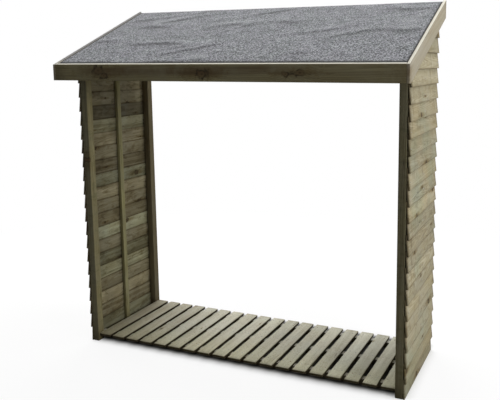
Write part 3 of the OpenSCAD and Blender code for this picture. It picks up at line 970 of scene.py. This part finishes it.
# the felt, a sheet laid on the deck with soft creases, turned down at the rear
felt = {"thick": 0.0024, "core": 0.9, "lift": 0.0046, "edgeLift": 0.15, "edgeGap": 0.004,
        "calm": 0.05, "lip": 0.036, "lipRaise": 0.6, "acrossCuts": 250, "alongCuts": 118,
        "reach": 0.022, "hidden": 0.012, "cleanSides": 1.9, "ruck": 0.016, "ruckRate": (3.3, 7.0),
        "ruckBy": (0.5, 1.6)}
# noise rates along and across the creases, each with its own layer of the noise
creases = {"slant": math.radians(17), "slow": (1.7, 4.0, 3.0), "line": (2.1, 7.0, 9.0),
           "gate": (2.6, 6.0, 21.0), "fine": (6.0, 17.0, 2.0), "drift": 0.4, "lineHalf": 0.34,
           "lineFall": 1.3, "gateBy": (0.5, 1.8), "level": 0.14, "slowBy": 0.2, "wrinkleBy": 0.8,
           "fineBy": 0.13}
low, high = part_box("roof_felt")
deckFront = low.y
deckRear = high.y - roofLine["feltThick"]
flatLong = (deckRear - deckFront) * plumb
sheetWide = high.x - low.x - 2 * felt["edgeGap"]
sheetLong = flatLong + felt["lip"] - felt["edgeGap"]
foot = Vector((0, deckFront, roofZ(deckFront) - deckDrop))


def clamped(value):
    return min(1.0, max(0.0, value))


def ripple(u, v, rates, drift=0.0):
    return noise.noise((u * rates[0] + drift, v * rates[1], rates[2]))


def creaseAt(x, s):  # long narrow wrinkles on a slant over slow pillows, 0 to 1
    u = x * math.cos(creases["slant"]) + s * math.sin(creases["slant"])
    v = s * math.cos(creases["slant"]) - x * math.sin(creases["slant"])
    slow = ripple(u, v, creases["slow"])
    line = abs(ripple(u, v, creases["line"], creases["drift"] * slow))
    gate = clamped(creases["gateBy"][0] + creases["gateBy"][1] * ripple(u, v, creases["gate"]))
    wrinkle = max(0.0, 1.0 - line / creases["lineHalf"]) ** creases["lineFall"] * gate
    fine = ripple(u, v, creases["fine"])
    return clamped(creases["level"] + creases["slowBy"] * slow + creases["wrinkleBy"] * wrinkle
                   + creases["fineBy"] * fine)


bm = bmesh.new()
bmesh.ops.create_grid(bm, x_segments=felt["acrossCuts"], y_segments=felt["alongCuts"], size=0.5)
place = bm.verts.layers.float_vector.new("place")
for vert in bm.verts:
    x = vert.co.x * sheetWide
    s = (vert.co.y + 0.5) * sheetLong + felt["edgeGap"]
    fromSide = sheetWide / 2 - abs(x)
    border = min(fromSide, s - felt["edgeGap"])
    wander = noise.noise((x * felt["ruckRate"][0], felt["ruckRate"][1], 0.0))
    ruck = felt["ruck"] * max(0.0, felt["ruckBy"][0] + felt["ruckBy"][1] * wander)
    # distance into the sheet from its border band of dirt and painted shade, narrower at the sides
    fromBorderDirtAndShade = min(fromSide * felt["cleanSides"], max(0.0, s - felt["hidden"] - ruck))
    calm = min(1.0, border / felt["calm"]) * clamped((flatLong - s) / felt["calm"])
    crease = creaseAt(x, s)
    # the side of a wrinkle just below a rise, which lies in shade: a mask for painted shade
    dip = max(0.0, creaseAt(x, s + felt["reach"]) - crease)
    vert[place] = (fromBorderDirtAndShade, dip * calm, crease * calm)
    free = felt["edgeLift"] + (1 - felt["edgeLift"]) * calm
    lift = felt["thick"] + felt["lift"] * crease * free
    if s <= flatLong:
        vert.co = foot + slopeAlong * s + slopeUp * lift + Vector((x, 0, 0))
    else:
        down = s - flatLong
        end = foot + slopeAlong * flatLong
        vert.co = end + Vector((x, felt["thick"], felt["thick"] * felt["lipRaise"] - down))
bm.normal_update()
bmesh.ops.solidify(bm, geom=bm.faces[:], thickness=felt["thick"] * felt["core"])
feltSheet = finishPiece("felt_sheet", [bm], feltFinish, "felt", "roof_felt")
print("felt laid")

# nails: three to a cladding board, two where a slat crosses a bearer
nails = {"head": 0.0034, "taper": 0.72, "proud": 0.0009, "sides": 9, "seed": 7, "wallUp": 0.3,
         "wallIn": 0.025, "wallTilt": 0.13, "wallWander": (0.006, 0.003), "roofGap": 0.02,
         "slatAt": (0.25, 0.75), "slatWander": (0.004, 0.006)}
rng = random.Random(nails["seed"])


def nailAt(bm, spot, normal):
    spin = Vector(normal).to_track_quat("Z", "Y").to_matrix().to_4x4()
    bmesh.ops.create_cone(bm, cap_ends=True, segments=nails["sides"], radius1=nails["head"],
                          radius2=nails["head"] * nails["taper"], depth=nails["proud"] * 2,
                          matrix=Matrix.Translation(spot) @ spin)


bm = bmesh.new()
studs = (cladding["front"] + nails["wallIn"], boardMid, cladding["rear"] - nails["wallIn"])
for side, sign in sideSigns:
    for k in range(cladding["perNode"] * len(wallThirds)):
        x = sign * (cladding["frameX"] + outerFace(leanOf(k), nails["wallUp"]))
        up = k * course + nails["wallUp"] * cladding["wide"]
        for stud in studs:
            z = up + around(rng, nails["wallWander"][1])
            y = stud + around(rng, nails["wallWander"][0])
            if z < roofZ(y) - underDrop - nails["roofGap"]:
                nailAt(bm, (x, y, z), (sign, 0, nails["wallTilt"]))
finishPiece("cladding_nails", [bm], nailFinish, None)
bm = bmesh.new()
for node in slatNodes:
    low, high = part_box(node)
    for bearer in bearerNodes:
        first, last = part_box(bearer)
        for share in nails["slatAt"]:
            x = low.x + (high.x - low.x) * share + around(rng, nails["slatWander"][0])
            y = (first.y + last.y) / 2 + around(rng, nails["slatWander"][1])
            nailAt(bm, (x, y, high.z), (0, 0, 1))
finishPiece("slat_nails", [bm], nailFinish, None)
print("nails driven")

# floor: white to the eye a little way off, dark to the eye under the store as painted shade, and
# dim in what it throws back
stageSet = {"reach": 14.0, "sides": 96, "sink": 0.0006, "rough": 0.9, "seen": (0.93, 0.93, 0.925),
            "under": (0.17, 0.168, 0.164), "bounce": (0.26, 0.256, 0.245), "glow": 0.88,
            "store": (0.86, 0.281), "storeMid": 0.112, "rim": 0.05, "clear": 0.09,
            "fade": (0.7, 2.6)}


def seenRays(tree):  # the camera, and what is mirrored or seen through, get the white surroundings
    rays = tree.nodes.new("ShaderNodeLightPath").outputs
    mirrored = larger(tree, rays["Is Glossy Ray"], rays["Is Transmission Ray"])
    return larger(tree, rays["Is Camera Ray"], mirrored)


bm = bmesh.new()
bmesh.ops.create_circle(bm, cap_ends=True, segments=stageSet["sides"], radius=stageSet["reach"])
mesh = bpy.data.meshes.new("studio_floor")
bm.to_mesh(mesh)
bm.free()
ground = bpy.data.objects.new("studio_floor", mesh)
scene.collection.objects.link(ground)
ground.location = (0, 0, -stageSet["sink"])
groundFinish, tree, shader = newMaterial("studioFloor")
shader.inputs["Roughness"].default_value = stageSet["rough"]
shader.inputs["Specular IOR Level"].default_value = 0.0
glow = tree.nodes.new("ShaderNodeEmission")
glow.inputs["Color"].default_value = (1, 1, 1, 1)
seen = seenRays(tree)
floorX, floorY = split(tree, objectPoint(tree))[:2]
ways = (floorX, calc(tree, "SUBTRACT", floorY, stageSet["storeMid"]))
outside = [larger(tree, calc(tree, "SUBTRACT", calc(tree, "ABSOLUTE", way), half), 0.0)
           for way, half in zip(ways, stageSet["store"])]
away = vecMath(tree, "LENGTH", stack(tree, *outside))
# painted shade: the floor under the store's footprint is dark to the eye
shown = tint(tree, ease(tree, away, 0.0, stageSet["rim"]), stageSet["under"], stageSet["seen"])
tree.links.new(tint(tree, seen, stageSet["bounce"], shown), shader.inputs["Base Color"])
near = ease(tree, away, 0.0, stageSet["clear"], 0.0, stageSet["glow"])
whiteness = times(tree, larger(tree, near, ease(tree, away, *stageSet["fade"])), seen)
above = mixShaders(tree, whiteness, shader.outputs[0], glow.outputs[0])
backfacing = tree.nodes.new("ShaderNodeNewGeometry").outputs["Backfacing"]
clear = tree.nodes.new("ShaderNodeBsdfTransparent").outputs[0]  # for looking up from underneath
surface = tree.nodes["Material Output"].inputs["Surface"]
tree.links.new(mixShaders(tree, backfacing, above, clear), surface)
mesh.materials.append(groundFinish)
ground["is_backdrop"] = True

# soft boxes over, behind, to each side and at the front right, and a little fill all round
lamps = {"overBox": {"spot": (-0.4, 0.0, 4.8), "size": 3.2, "power": 56.0, "aim": (0, 0, 1.6)},
         "skyBox": {"spot": (2.6, 1.85, 5.6), "size": 2.4, "power": 118.0, "aim": (-0.3, 0, 0.5)},
         "backBox": {"spot": (-1.7, 3.4, 3.0), "size": 2.4, "power": 104.0, "aim": (0, 0, 0.3)},
         "rightBox": {"spot": (4.6, 0.6, 2.6), "size": 2.2, "power": 40.0, "aim": (0.9, 0, 0.9)},
         "leftBox": {"spot": (-4.2, 1.8, 2.6), "size": 2.2, "power": 105.0, "aim": (-0.4, 0, 0.6)},
         "frontBox": {"spot": (4.8, -1.45, 2.0), "size": 1.2, "power": 92.0, "aim": (-0.6, 0, 0.6)}}
fill = {"level": 0.12, "tint": (0.95, 0.98, 1.0)}
for name, lamp in lamps.items():
    lampData = bpy.data.lights.new(name, "AREA")
    lampData.size = lamp["size"]
    lampData.energy = lamp["power"]
    box = bpy.data.objects.new(name, lampData)
    scene.collection.objects.link(box)
    box.visible_camera = False
    box.location = lamp["spot"]
    aim = Vector(lamp["aim"]) - Vector(lamp["spot"])
    box.rotation_euler = aim.to_track_quat("-Z", "Y").to_euler()
world = bpy.data.worlds.new("studio")
scene.world = world
world.use_nodes = True
tree = world.node_tree
sky = tree.nodes["Background"]
sky.inputs["Color"].default_value = (*fill["tint"], 1)
sky.inputs["Strength"].default_value = fill["level"]
white = tree.nodes.new("ShaderNodeBackground")
white.inputs["Color"].default_value = (1, 1, 1, 1)
surroundings = mixShaders(tree, seenRays(tree), sky.outputs[0], white.outputs[0])
tree.links.new(surroundings, tree.nodes["World Output"].inputs["Surface"])
print("studio lit")

low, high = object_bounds()
